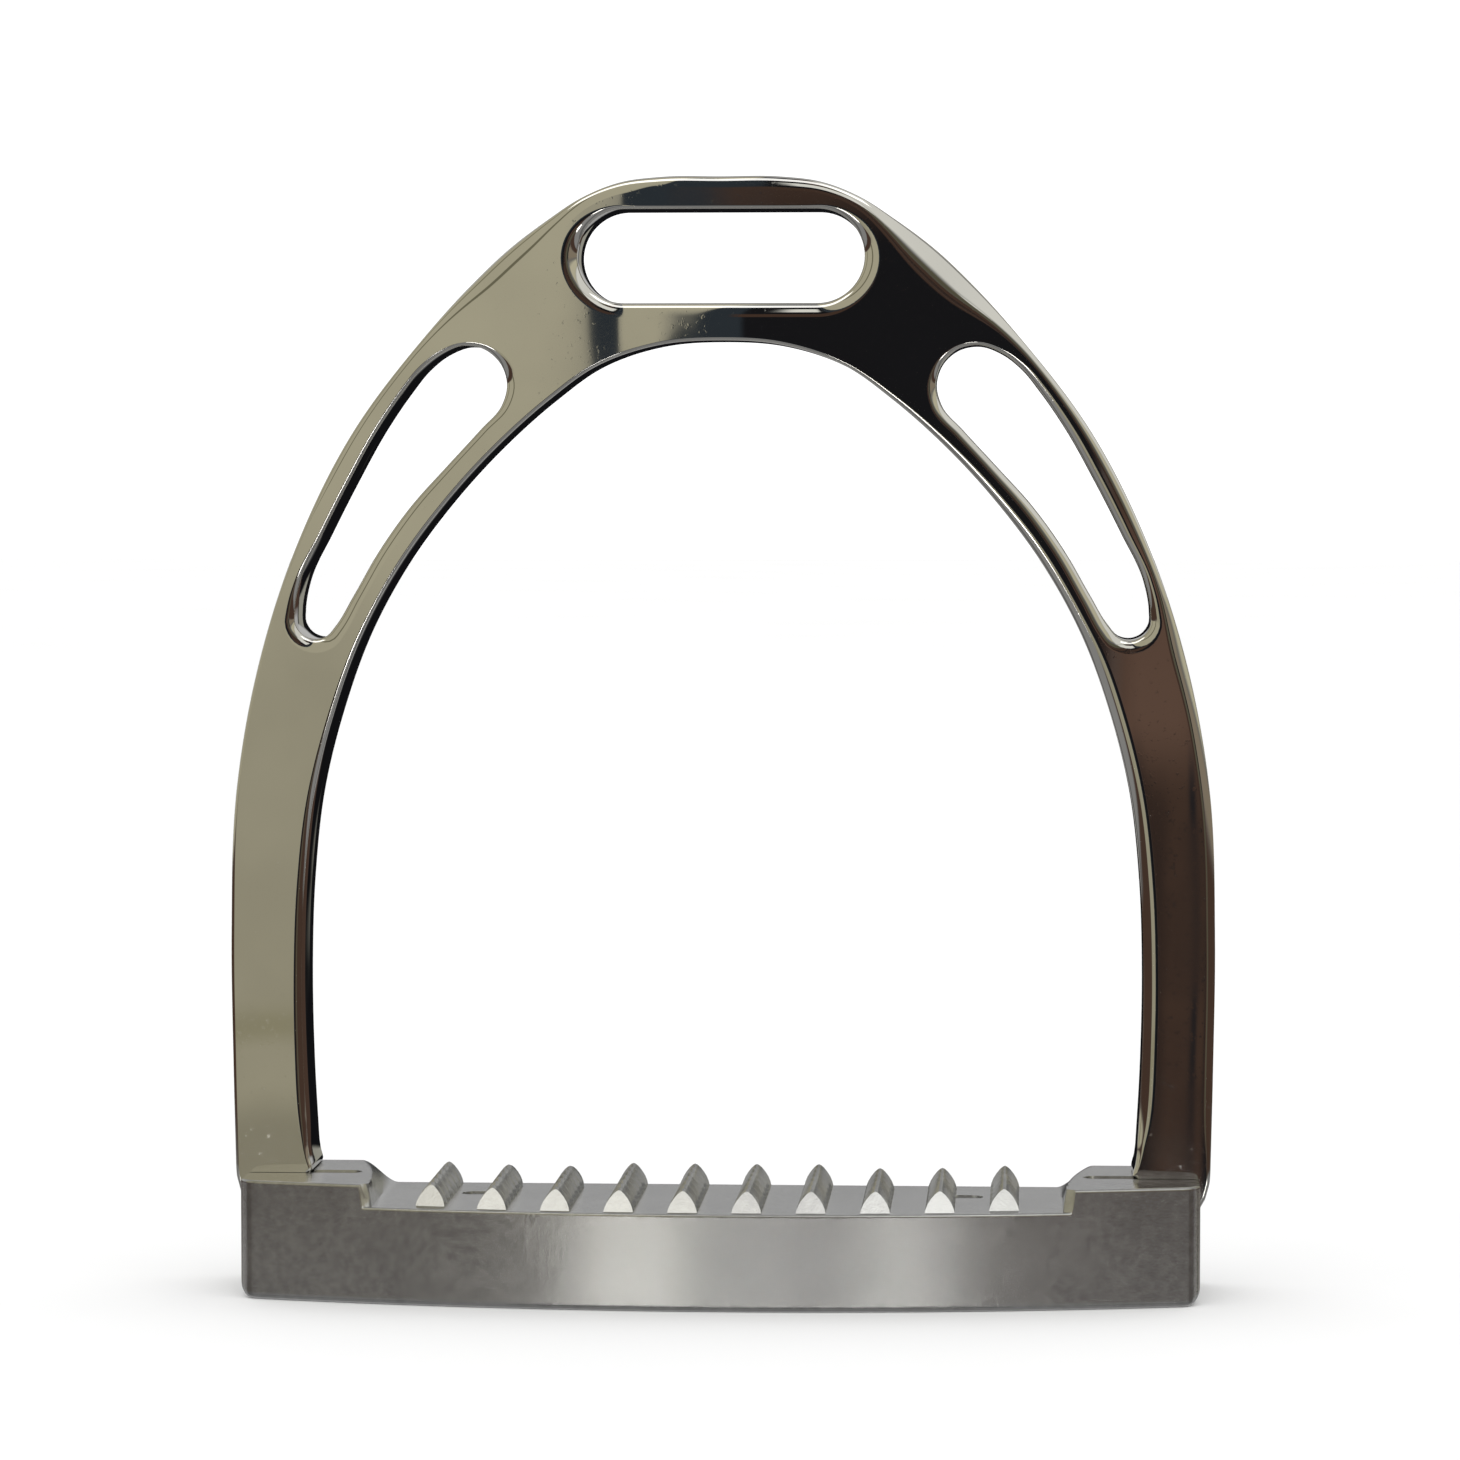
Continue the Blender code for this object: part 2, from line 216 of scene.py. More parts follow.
def evenly(points, step):
    """The closed outline with its points spread evenly, as an array."""
    ring = np.array(points + points[:1])
    lengths = np.hypot(*np.diff(ring, axis=0).T)
    along = np.concatenate([[0], np.cumsum(lengths)])
    places = np.linspace(0, along[-1], round(along[-1] / step), endpoint=False)
    return np.stack([np.interp(places, along, ring[:, k]) for k in (0, 1)], axis=1)


def signed_area(ring):
    after = np.roll(ring, -1, axis=0)
    return (ring[:, 0] * after[:, 1] - after[:, 0] * ring[:, 1]).sum() / 2


def bow_outline():
    """The outside of the bow and the inside of its arch, as one loop."""
    outer = [(0, IRON_HEIGHT), (8.5, 159.95), (14.3, 159.2), (20.1, 156.9), (24.6, 154.0)]
    outer += [(30.4, 149.7), (36.1, 144.3), (42.8, 136.8), (52.6, 123.9), (61.2, 106.8)]
    outer += [(66.9, 88.8), (69.8, 72.2), (BOW_HALF_WIDTH, 52.0), (70.4, 32.0), (70.1, 17.6)]
    inner = [(LEG_INNER_X, 20.5), (60.2, 32.0), (60.45, 46.0), (60.0, 59.0), (58.5, 72.0)]
    inner += [(55.6, 83.5), (51.4, 94.9), (46.05, 104.6), (39.7, 113.2), (31.8, 121.8)]
    inner += [(24.45, 128.3), (18.0, 132.9), (8.5, 136.1), (0, ARCH_INNER_Z)]
    foot = [(70.0, 16.4), (69.4, 14.2), (FOOT_OUTER_X, 12.4), (FOOT_OUTER_X, FOOT_Z)]
    foot += [(FOOT_INNER_X, FOOT_Z), (FOOT_INNER_X, COLLAR_Z)]
    foot += [(59.0, COLLAR_Z), (59.1, 18.0), (59.4, 19.0)]
    steps = 24
    outside = smooth_curve(mirrored(outer)[:-1] + outer, steps)
    inside = smooth_curve(inner[:-1] + mirrored(inner), steps)
    return outside + foot + inside + mirrored(foot)


def eye_outline():
    radius = EYE_HEIGHT / 2
    reach = EYE_LENGTH / 2 - radius
    right = arc((reach, EYE_Z), radius, -90, 90, 40)
    return right + mirrored(right)


def side_slot_outline():
    points = arc((36.3, 130.3), 5.7, 85, 210, 4)
    points += [(34.4, 124.0), (39.4, 118.6), (44.3, 113.2), (49.0, 106.7), (52.7, 100.3)]
    points += arc((58.25, 97.1), 3.1, 205, 375, 5)
    points += [(60.4, 102.4), (57.3, 108.9), (53.4, 116.5), (49.2, 124.0), (45.5, 129.4)]
    points += [(42.9, 132.6), (40.1, 134.8)]
    return smooth_curve(points, 16, closed=True)


# Mesh helpers


def add_object(name, data):
    obj = bpy.data.objects.new(name, data)
    bpy.context.scene.collection.objects.link(obj)
    return obj


def add_solid(name, vertices, faces):
    """An object from corners in millimetres, with its faces turned outward."""
    mesh = bpy.data.meshes.new(name)
    mesh.from_pydata([tuple(v) for v in np.asarray(vertices) * MM], [], faces)
    bm = bmesh.new()
    bm.from_mesh(mesh)
    bmesh.ops.recalc_face_normals(bm, faces=bm.faces)
    bm.to_mesh(mesh)
    bm.free()
    return add_object(name, mesh)


def shade(mesh, sharp_deg):
    """Smooth shading, apart from edges that turn more than this."""
    mesh.shade_smooth()
    mesh.set_sharp_from_angle(angle=math.radians(sharp_deg))


def band(low, high):
    """The faces between two closed rings of corner numbers."""
    faces = []
    for i in range(len(low)):
        j = (i + 1) % len(low)
        faces.append((low[i], low[j], high[j], high[i]))
    return faces


def inward(ring):
    """The direction into the metal at each point of an outline."""
    along = np.roll(ring, -1, axis=0) - np.roll(ring, 1, axis=0)
    along /= np.maximum(np.hypot(*along.T), 1e-9)[:, None]
    return np.stack([-along[:, 1], along[:, 0]], axis=1)


def blurred(values, passes):
    for _ in range(passes):
        values = (np.roll(values, 1) + 2 * values + np.roll(values, -1)) / 4
    return values


def inside(points, rings):
    """Which points lie in the region between the rings, by the even-odd rule."""
    odd = np.zeros(len(points), bool)
    for ring in rings:
        after = np.roll(ring, -1, axis=0)
        for a, b in zip(ring, after):
            crosses = (a[1] > points[:, 1]) != (b[1] > points[:, 1])
            if not crosses.any():
                continue
            at = a[0] + (points[crosses, 1] - a[1]) / (b[1] - a[1]) * (b[0] - a[0])
            odd[np.flatnonzero(crosses)[points[crosses, 0] < at]] ^= True
    return odd


def nearest_distance(points, others, block=400):
    """Each point's distance to the nearest of the others."""
    found = []
    for i in range(0, len(points), block):
        gaps = points[i : i + block, None] - others[None]
        found.append(np.sqrt((gaps**2).sum(axis=2)).min(axis=1))
    return np.concatenate(found)


# Bow


def widest_circles(ring, normals, points, block=300):
    """For each edge point, the radius of the widest circle in the metal that touches it there."""
    found = []
    for i in range(0, len(ring), block):
        gap = points[None] - ring[i : i + block, None]
        depth = (gap * normals[i : i + block, None]).sum(axis=2)
        squared = (gap**2).sum(axis=2)
        radius = squared / (2 * np.maximum(depth, 1e-3))
        across = (depth > 1e-3) & (squared > 0.1)
        found.append(np.where(across, radius, OPEN_METAL).min(axis=1))
    return np.concatenate(found)


def rounding_radii(rings):
    """How far each edge point is rounded: less where the metal beside it is narrow."""
    points = np.concatenate([ring for ring, _ in rings])
    radii = []
    for k, (ring, normals) in enumerate(rings):
        is_outside, is_eye = k == 0, k == 1
        widest = widest_circles(ring, normals, points)
        left = np.interp(-normals[:, 1], FACING_UP, EYE_REACH if is_eye else OUTER_LEFT_REACH)
        right = np.interp(-normals[:, 1], FACING_UP, EYE_REACH if is_eye else OUTER_RIGHT_REACH)
        reach = np.where(normals[:, 0] > 0, left, right)
        if is_outside:
            left_leg = (normals[:, 0] > 0.9) & (ring[:, 0] < 0)
            foot = ring[:, 1] < LEG_FOOT_Z
            reach = np.where(left_leg | foot, EDGE_REACH, reach)
        elif not is_eye:
            reach = np.minimum(reach, SIDE_SLOT_REACH)
        aimed = np.minimum(reach, AIMED_SHARE * widest)
        radius = np.minimum(blurred(aimed, BLUR_PASSES), LARGEST_SHARE * widest)
        radii.append(np.clip(radius, LEAST_REACH, None))
    return radii


def bow_rings():
    """The bow's outlines, each as (points, directions into the metal)."""
    slot = side_slot_outline()
    rings = []
    for i, outline in enumerate((bow_outline(), eye_outline(), slot, mirrored(slot))):
        ring = evenly(outline, BOW_STEP)
        if (signed_area(ring) > 0) != (i == 0):
            ring = ring[::-1]
        rings.append((ring, inward(ring)))
    return rings


def edge_layers(radius):
    """The bow's edge from its front face to its back face: (how far in, y from the middle)."""
    half = BOW_DEPTH / 2
    layers = [(FACE_MARGIN * radius, np.full_like(radius, -half))]
    drop = np.maximum(CROWN_STEEPNESS * radius, np.minimum(radius, CROWN_DROP))
    for k in range(ROUNDING_STEPS + 1):
        turn = math.pi / 2 * k / ROUNDING_STEPS
        layers.append((radius * (1 - math.sin(turn)), -half + drop * (1 - math.cos(turn))))
    return layers + [(shift, -y) for shift, y in reversed(layers)]


def face_triangles(outlines):
    """The flat face between its outlines: (points spread inside it, triangles).

    A triangle numbers the outlines' points first and the points inside after them.
    """
    side = math.ceil(BOW_HALF_WIDTH) + 1
    columns = np.arange(-side, side, FACE_STEP)
    rows = np.arange(math.floor(FOOT_Z) - 1, IRON_HEIGHT + 1, FACE_ROW_STEP)
    grid = [(u + FACE_STEP / 2 * (j % 2), v) for j, v in enumerate(rows) for u in columns]
    grid = np.array(grid)
    grid = grid[inside(grid, outlines)]
    grid = grid[nearest_distance(grid, np.concatenate(outlines)) > FACE_GAP * FACE_STEP]
    flat = [Vector(p) for p in np.concatenate(outlines + [grid])]
    edges, start = [], 0
    for outline in outlines:
        count = len(outline)
        edges += [(start + i, start + (i + 1) % count) for i in range(count)]
        start += count
    _, _, triangles, origins, _, _ = delaunay_2d_cdt(flat, edges, [], 0, 1e-7)
    triangles = [tuple(origins[k][0] for k in t) for t in triangles]
    centres = np.array([np.mean([flat[k] for k in t], axis=0) for t in triangles])
    kept = inside(centres, outlines)
    return grid, [t for t, keep in zip(triangles, kept) if keep]


def make_bow(material):
    rings = bow_rings()
    vertices, faces, outlines = [], [], []
    rims = {-1: [], 1: []}
    for (ring, normals), radius in zip(rings, rounding_radii(rings)):
        layers = edge_layers(radius)
        numbers = []
        for shift, y in layers:
            moved = ring + normals * shift[:, None]
            numbers.append(range(len(vertices), len(vertices) + len(ring)))
            vertices += [(u, BOW_Y + v, w) for (u, w), v in zip(moved, y)]
        for low, high in zip(numbers, numbers[1:]):
            faces += band(low, high)
        outlines.append(ring + normals * layers[0][0][:, None])
        rims[-1] += numbers[0]
        rims[1] += numbers[-1]

    points, triangles = face_triangles(outlines)
    for side, rim in rims.items():
        corners = rim + list(range(len(vertices), len(vertices) + len(points)))
        vertices += [(u, BOW_Y + side * BOW_DEPTH / 2, v) for u, v in points]
        faces += [tuple(corners[k] for k in triangle) for triangle in triangles]
    bow = add_solid("polished_bow", vertices, faces)
    bow.data.materials.append(material)
    shade(bow.data, sharp_deg=40)
    return bow


# Footrest


def front_edge(x):
    """The footrest's front at this x: one long arc, with rounded corners."""
    radius = (HALF_LENGTH**2 + FRONT_BULGE**2) / (2 * FRONT_BULGE)
    y = FRONT_Y + radius - np.sqrt(radius**2 - x**2)
    into = np.clip(np.abs(x) - (HALF_LENGTH - FRONT_CORNER), 0, FRONT_CORNER)
    return y + FRONT_CORNER - np.sqrt(FRONT_CORNER**2 - into**2)


def back_edge(x):
    into = np.clip(np.abs(x) - (HALF_LENGTH - BACK_CORNER), 0, BACK_CORNER)
    return BACK_Y - BACK_CORNER + np.sqrt(BACK_CORNER**2 - into**2)


def ease(t):
    t = np.clip(t, 0, 1)
    return t * t * (3 - 2 * t)


def quarter_drop(distance, radius):
    """How far a quarter-round edge of this radius has dropped, this far in from the edge."""
    into = np.clip(1 - distance / radius, 0, 1)
    return radius * (1 - np.sqrt(np.clip(1 - into**2, 0, 1)))


def block_rise(x, y, front):
    """The end blocks: an upright wall in front that eases into a slope at the back."""
    back = np.clip((y - front) / (BACK_Y - front), 0, 1)
    facet = FRONT_FACET * (1 - np.clip((y - front) / FRONT_FACET_DEPTH, 0, 1))
    foot = WALL_X + facet - WALL_SHIFT * back**2
    width = WALL_WIDTH + BACK_SLOPE * back**2
    return (BLOCK_Z - FLOOR_Z) * ease((np.abs(x) - foot) / width)


def ridge_stations(start, end):
    """Along a ridge: (y, size). It shrinks slowly from tooth to tooth and steps up at each."""
    stations = []
    y = start + FIRST_TOOTH
    while y + TOOTH_STEP < end:
        stations += [(y, TOOTH_SHRINK), (y + TOOTH_STEP, 1.0)]
        y += TOOTH_PITCH
    left_over = (end - y + TOOTH_PITCH) / TOOTH_PITCH
    stations.append((end, 1 - (1 - TOOTH_SHRINK) * min(left_over, 1.0)))
    return stations


def ridge_mesh(index):
    """One ridge with teeth cut across it: (vertices, faces). Its front end leans back."""
    x = (index - (RIDGES - 1) / 2) * RIDGE_PITCH
    inset = END_RIDGE_INSET if index in (0, RIDGES - 1) else RIDGE_FRONT_INSET
    start = float(front_edge(x)) + inset
    slant = float(front_edge(x + 1) - front_edge(x - 1)) / 2
    left_half = [(-u, h) for u, h in reversed(RIDGE_SECTION)]
    section = RIDGE_SECTION + [(0.0, RIDGE_HEIGHT)] + left_half

    first_size = TOOTH_SHRINK + (1 - TOOTH_SHRINK) * 0.6
    vertices = []
    for u, h in section:
        y = start + slant * u + RIDGE_FRONT_LEAN * h / RIDGE_HEIGHT
        vertices.append((x + u, y, FLOOR_Z + (h * first_size if h > 0 else h)))
    for y, size in ridge_stations(start, BACK_Y - RIDGE_BACK_INSET):
        for u, h in section:
            vertices.append((x + u * size, y, FLOOR_Z + (h * size if h > 0 else h)))

    count = len(section)
    rings = [range(k, k + count) for k in range(0, len(vertices), count)]
    faces = [tuple(rings[0]), tuple(rings[-1])]
    for low, high in zip(rings, rings[1:]):
        faces += band(low, high)
    return vertices, faces


def slot_drop(x, y):
    """Two round-ended relief slots on each side."""
    drop = np.zeros_like(x)
    radius = SLOT_WIDTH / 2
    for low, high, middle in (END_SLOT, FLOOR_SLOT):
        from_end = np.maximum(low + radius - np.abs(x), np.abs(x) - high + radius)
        distance = np.hypot(np.maximum(from_end, 0), y - middle)
        drop = np.maximum(drop, SLOT_DEPTH * ease((radius - distance) / SLOT_WALL + 0.5))
    return drop


def tread_height(x, y):
    """The height of the footrest's upper side over its plan, without the ridges."""
    front = front_edge(x)
    top = FLOOR_Z + block_rise(x, y, front) - slot_drop(x, y)
    middle = 1 - ease((np.abs(x) - MIDDLE_X) / MIDDLE_FADE)
    more = MIDDLE_FRONT_ROUNDING - BLOCK_FRONT_ROUNDING
    drop = quarter_drop(y - front, BLOCK_FRONT_ROUNDING + more * middle)
    drop = np.maximum(drop, quarter_drop(back_edge(x) - y, EDGE_ROUNDING))
    drop = np.maximum(drop, quarter_drop(HALF_LENGTH - np.abs(x), EDGE_ROUNDING))
    in_pocket = (np.abs(x) > POCKET_X) & (y > POCKET_Y[0]) & (y < POCKET_Y[1])
    return np.where(in_pocket, POCKET_FLOOR_Z, top - drop)


def tread_columns():
    """The x values of half the grid, unsorted: close together where the shape turns."""
    half = list(np.arange(0, MIDDLE_X, 0.9))
    half += list(np.arange(MIDDLE_X, 55.0, 0.25))
    half += list(np.arange(32.4, 37.8, 0.2))
    half += list(np.arange(52.0, 54.0, 0.2))
    half += list(np.arange(55.0, HALF_LENGTH - 1.0, 0.8))
    half += [POCKET_X - STEP_WIDTH, POCKET_X + STEP_WIDTH]
    half += [HALF_LENGTH - d for d in END_COLUMNS]
    return half


def thinned(values):
    """The values in order, without any that is too close to the one before."""
    kept = []
    for value in sorted(values):
        if not kept or value - kept[-1] > LEAST_GAP:
            kept.append(value)
    return kept


def tread_rows():
    """The grid's rows: (zone, place), from the front edge to the back edge."""
    rows = [("front", d) for d in FRONT_ROWS]
    rows += [("blend", t) for t in np.linspace(0, 1, BLEND_STEPS + 1)[1:-1]]
    flat = list(np.arange(FRONT_ZONE_Y, BACK_ZONE_Y, 0.28))
    for wall in POCKET_Y:
        flat += [wall - STEP_WIDTH, wall + STEP_WIDTH]
    flat += list(np.arange(1.0, 4.3, 0.2)) + list(np.arange(2.8, 6.1, 0.2))
    rows += [("flat", y) for y in thinned(flat)]
    rows += [("back", d) for d in BACK_ROWS]
    return rows


def tread_grid():
    """The upper side as a grid: arrays of x, y and z. Rows follow the front and back edges."""
    half = thinned(tread_columns())
    columns = np.array([-x for x in reversed(half) if x > 0] + half)
    front, back = front_edge(columns), back_edge(columns)
    reach = FRONT_ROWS[-1]
    front_room = np.minimum(1, (FRONT_ZONE_Y - front) / (2 * reach))
    back_room = np.minimum(1, (back - BACK_ZONE_Y) / BACK_ROOM)
    grid_y = []
    for zone, place in tread_rows():
        if zone == "front":
            grid_y.append(front + place * front_room)
        elif zone == "blend":
            start = front + reach * front_room
            grid_y.append(start + (FRONT_ZONE_Y - start) * place)
        elif zone == "flat":
            grid_y.append(np.full_like(columns, place))
        else:
            grid_y.append(back - place * back_room)
    y = np.array(grid_y)
    x = np.broadcast_to(columns, y.shape)
    return x, y, tread_height(x, y)


def tread_surface():
    """The upper side: (vertices, faces, the numbers of the corners round its edge)."""
    x, y, z = tread_grid()
    rows, columns = x.shape
    vertices = list(zip(x.ravel(), y.ravel(), z.ravel()))
    faces = []
    for j in range(rows - 1):
        for i in range(columns - 1):
            a = j * columns + i
            faces.append((a, a + 1, a + 1 + columns, a + columns))
    edge = [(0, i) for i in range(columns)] + [(j, columns - 1) for j in range(1, rows)]
    edge += [(rows - 1, i) for i in range(columns - 2, -1, -1)]
    edge += [(j, 0) for j in range(rows - 2, 0, -1)]
    return vertices, faces, [j * columns + i for j, i in edge]


def side_layers(tops):
    """The sides from below the top edge to the underside: (how far in, heights)."""
    level = np.ones(len(tops))
    layers = [(0.0, tops + (END_ROUNDING - tops) * share) for share in SIDE_SHARES]
    layers += [(0.0, level * height) for height in SIDE_HEIGHTS]
    for k in range(BOTTOM_STEPS + 1):
        turn = math.pi / 2 * k / BOTTOM_STEPS
        shift = BOTTOM_ROUNDING * (1 - math.cos(turn))
        layers.append((shift, level * BOTTOM_ROUNDING * (1 - math.sin(turn))))
    layers.append((BOTTOM_ROUNDING + BOTTOM_MARGIN, level * 0.0))
    return layers


def end_reach(z):
    """How far out the footrest's ends reach at this height: they curve in to the underside."""
    below = np.clip(END_ROUNDING - z, 0, END_ROUNDING)
    return HALF_LENGTH - END_ROUNDING + np.sqrt(END_ROUNDING**2 - below**2)


def footrest_body():
    """The footrest's closed body without its ridges: (vertices, faces)."""
    vertices, faces, ring = tread_surface()
    edge = np.array([vertices[i] for i in ring])
    plan, tops = edge[:, :2], edge[:, 2]
    normals = inward(plan)
    for shift, heights in side_layers(tops):
        moved = plan + normals * shift
        reach = end_reach(heights) - max(shift - BOTTOM_ROUNDING, 0)
        moved[:, 0] = np.clip(moved[:, 0], -reach, reach)
        fresh = list(range(len(vertices), len(vertices) + len(ring)))
        vertices += [(u, v, h) for (u, v), h in zip(moved, heights)]
        faces += band(ring, fresh)
        ring = fresh
    faces.append(tuple(ring))
    return vertices, faces


def turned_cutter(name, profile, centre, sides=64):
    """A solid of revolution about a vertical line, from (radius, z) pairs."""
    vertices, faces, rings = [], [], []
    for radius, z in profile:
        ring = [centre]
        if radius:
            ring = arc(centre, radius, 0, 360 * (sides - 1) / sides, sides - 1)
        rings.append(range(len(vertices), len(vertices) + len(ring)))
        vertices += [(x, y, z) for x, y in ring]
    for low, high in zip(rings, rings[1:]):
        for i in range(sides):
            j = (i + 1) % sides
            corners = [low[i % len(low)], low[j % len(low)]]
            corners += [high[j % len(high)], high[i % len(high)]]
            faces.append(tuple(dict.fromkeys(corners)))
    return add_solid(name, vertices, faces)


def cut_bores(footrest):
    """Cut a counterbore and a screw hole under each leg."""
    mouth = COUNTERBORE_RADIUS + BORE_CHAMFER
    below, above = -1, 12
    profile = [(0, below), (mouth, below), (mouth, 0.0), (COUNTERBORE_RADIUS, BORE_CHAMFER)]
    profile += [(COUNTERBORE_RADIUS, SCREW_SEAT_Z), (SCREW_HOLE_RADIUS, SCREW_SEAT_Z)]
    profile += [(SCREW_HOLE_RADIUS, above), (0, above)]
    cutters = []
    for side, sign in (("left", -1), ("right", 1)):
        cutter = turned_cutter(f"bore_{side}", profile, (sign * JOINT_X, BOW_Y))
        modifier = footrest.modifiers.new(cutter.name, "BOOLEAN")
        modifier.object = cutter
        modifier.solver = "EXACT"
        cutters.append(cutter)
    graph = bpy.context.evaluated_depsgraph_get()
    finished = bpy.data.meshes.new_from_object(footrest.evaluated_get(graph))
    footrest.modifiers.clear()
    footrest.data = finished
    for cutter in cutters:
        bpy.data.objects.remove(cutter, do_unlink=True)


def make_footrest(material):
    vertices, faces = footrest_body()
    for i in range(RIDGES):
        base = len(vertices)
        corners, sides = ridge_mesh(i)
        vertices += corners
        faces += [tuple(base + k for k in side) for side in sides]
    footrest = add_solid("satin_footrest", vertices, faces)
    footrest.data.materials.append(material)
    cut_bores(footrest)
    shade(footrest.data, sharp_deg=32)
    return footrest


# Materials


class Nodes:
    """A short way to write the nodes of a material or a world."""

    def __init__(self, name, world=False):
        owner = bpy.data.worlds.new(name) if world else bpy.data.materials.new(name)
        owner.use_nodes = True
        self.owner, self.tree = owner, owner.node_tree
        self.tree.nodes.clear()

    def add(self, kind, settings=None, **inputs):
        """A new node with its inputs set by name, or by number as i0, i1 and so on."""
        node = self.tree.nodes.new(kind)
        for key, value in (settings or {}).items():
            setattr(node, key, value)
        for key, value in inputs.items():
            by_number = key[0] == "i" and key[1:].isdigit()
            self.put(node.inputs[int(key[1:]) if by_number else key], value)
        return node

    def put(self, socket, value):
        if isinstance(value, bpy.types.NodeSocket):
            self.tree.links.new(value, socket)
        elif isinstance(value, tuple) and len(value) == 3 and socket.type == "RGBA":
            socket.default_value = (*value, 1.0)
        else:
            socket.default_value = value

    def math(self, operation, a, b=0.0, c=0.0):
        node = self.add("ShaderNodeMath", {"operation": operation}, i0=a, i1=b, i2=c)
        return node.outputs[0]

    def noise(self, vector, scale, detail=2.0, roughness=0.5):
        node = self.add("ShaderNodeTexNoise", None, Vector=vector, Scale=scale)
        node.inputs["Detail"].default_value = detail
        node.inputs["Roughness"].default_value = roughness
        return node.outputs["Fac"]

    def ramp(self, value, low, high, out_low=0.0, out_high=1.0):
        node = self.add("ShaderNodeMapRange", {"interpolation_type": "SMOOTHSTEP"}, Value=value)
        limits = {"From Min": low, "From Max": high, "To Min": out_low, "To Max": out_high}
        for key, number in limits.items():
            node.inputs[key].default_value = number
        return node.outputs["Result"]

    def mix(self, factor, a, b):
        node = self.add("ShaderNodeMix", {"data_type": "RGBA"})
        self.put(node.inputs["Factor"], factor)
        self.put(node.inputs["A"], a)
        self.put(node.inputs["B"], b)
        return node.outputs["Result"]

    def scaled(self, vector, x, y, z):
        node = self.add("ShaderNodeVectorMath", {"operation": "MULTIPLY"})
        self.put(node.inputs[0], vector)
        node.inputs[1].default_value = (x, y, z)
        return node.outputs[0]

    def bump(self, height, distance, strength=1.0, normal=None):
        node = self.add("ShaderNodeBump", None, Height=height, Distance=distance, Strength=strength)
        if normal:
            self.put(node.inputs["Normal"], normal)
        return node.outputs["Normal"]

    def object_place(self):
        return self.add("ShaderNodeTexCoord").outputs["Object"]

    def finish_metal(self, colour, roughness, normal):
        shader = self.add("ShaderNodeBsdfPrincipled")
        self.put(shader.inputs["Base Color"], colour)
        shader.inputs["Metallic"].default_value = 1.0
        self.put(shader.inputs["Roughness"], roughness)
        self.put(shader.inputs["Normal"], normal)
        out = self.add("ShaderNodeOutputMaterial")
        self.tree.links.new(shader.outputs["BSDF"], out.inputs["Surface"])
        return self.owner


# Places where hand polishing has left the bow's face hollow (or, if negative, proud):
# (x, z), the reach along x and z, and the depth
HOLLOWS = [
    ((-14.0, 140.0), (2.4, 7.5), 0.027),
    ((3.0, 139.5), (8.0, 6.0), -0.12),
]
WAVE_HEIGHT = 0.05


def hollow(n, place, centre, reach, depth):
    """One hollow as a height in millimetres: deepest at its centre, fading out all round."""
    away = n.add("ShaderNodeVectorMath", {"operation": "SUBTRACT"}, i0=place)
    away.inputs[1].default_value = (centre[0] * MM, 0.0, centre[1] * MM)
    shrunk = n.scaled(away.outputs[0], 1 / (reach[0] * MM), 0.0, 1 / (reach[1] * MM))
    squared = n.add("ShaderNodeVectorMath", {"operation": "DOT_PRODUCT"}, i0=shrunk, i1=shrunk)
    bell = n.math("EXPONENT", n.math("MULTIPLY", squared.outputs["Value"], -0.5))
    return n.math("MULTIPLY", bell, -depth)


def polished_steel():
    """Hand-polished stainless steel: mirror bright, with faint haze, pits and slow waves."""
    n = Nodes("polished_steel")
    place = n.object_place()
    haze = n.noise(place, 55.0, 3.0)
    pits = n.noise(place, 1400.0, 2.0, 0.6)
    wave = n.noise(n.scaled(place, 62.0, 62.0, 12.0), 1.0, 1.0, 0.45)
    height = n.math("MULTIPLY", wave, WAVE_HEIGHT)
    for centre, reach, depth in HOLLOWS:
        height = n.math("ADD", height, hollow(n, place, centre, reach, depth))
    rough_haze = n.ramp(haze, 0.35, 0.7, 0.012, 0.035)
    roughness = n.math("ADD", rough_haze, n.ramp(pits, 0.62, 0.8, 0.0, 0.05))
    colour = n.mix(n.ramp(haze, 0.3, 0.7), (0.80, 0.785, 0.745), (0.74, 0.725, 0.69))
    normal = n.bump(n.ramp(pits, 0.6, 0.85), 0.000002, 0.3, n.bump(height, MM))
    return n.finish_metal(colour, roughness, normal)


def satin_aluminium():
    """Bead-blasted and anodised aluminium: a fine even grain with slight clouding."""
    n = Nodes("satin_aluminium")
    place = n.object_place()
    grain = n.noise(place, 3200.0, 3.0, 0.65)
    cloud = n.noise(place, 60.0, 4.0, 0.6)
    speck = n.noise(place, 900.0, 2.0, 0.5)
    tone = n.math("ADD", n.math("MULTIPLY", cloud, 0.6), n.math("MULTIPLY", speck, 0.4))
    colour = n.mix(n.ramp(tone, 0.3, 0.7), (0.50, 0.50, 0.49), (0.62, 0.62, 0.61))
    roughness = n.ramp(tone, 0.3, 0.7, 0.17, 0.22)
    normal = n.bump(grain, 0.00002, 0.5)
    return n.finish_metal(colour, roughness, normal)


def plated_steel():
    n = Nodes("plated_steel")
    place = n.object_place()
    grain = n.noise(place, 1800.0, 3.0)
    colour = n.mix(grain, (0.50, 0.51, 0.53), (0.66, 0.67, 0.69))
    return n.finish_metal(colour, n.ramp(grain, 0.3, 0.7, 0.22, 0.36), n.bump(grain, 0.00002, 0.4))


def spring_steel():
    n = Nodes("spring_steel")
    place = n.object_place()
    grain = n.noise(place, 1500.0, 4.0)
    colour = n.mix(grain, (0.16, 0.155, 0.15), (0.30, 0.295, 0.29))
    return n.finish_metal(colour, n.ramp(grain, 0.3, 0.7, 0.35, 0.55), n.bump(grain, 0.00003, 0.5))


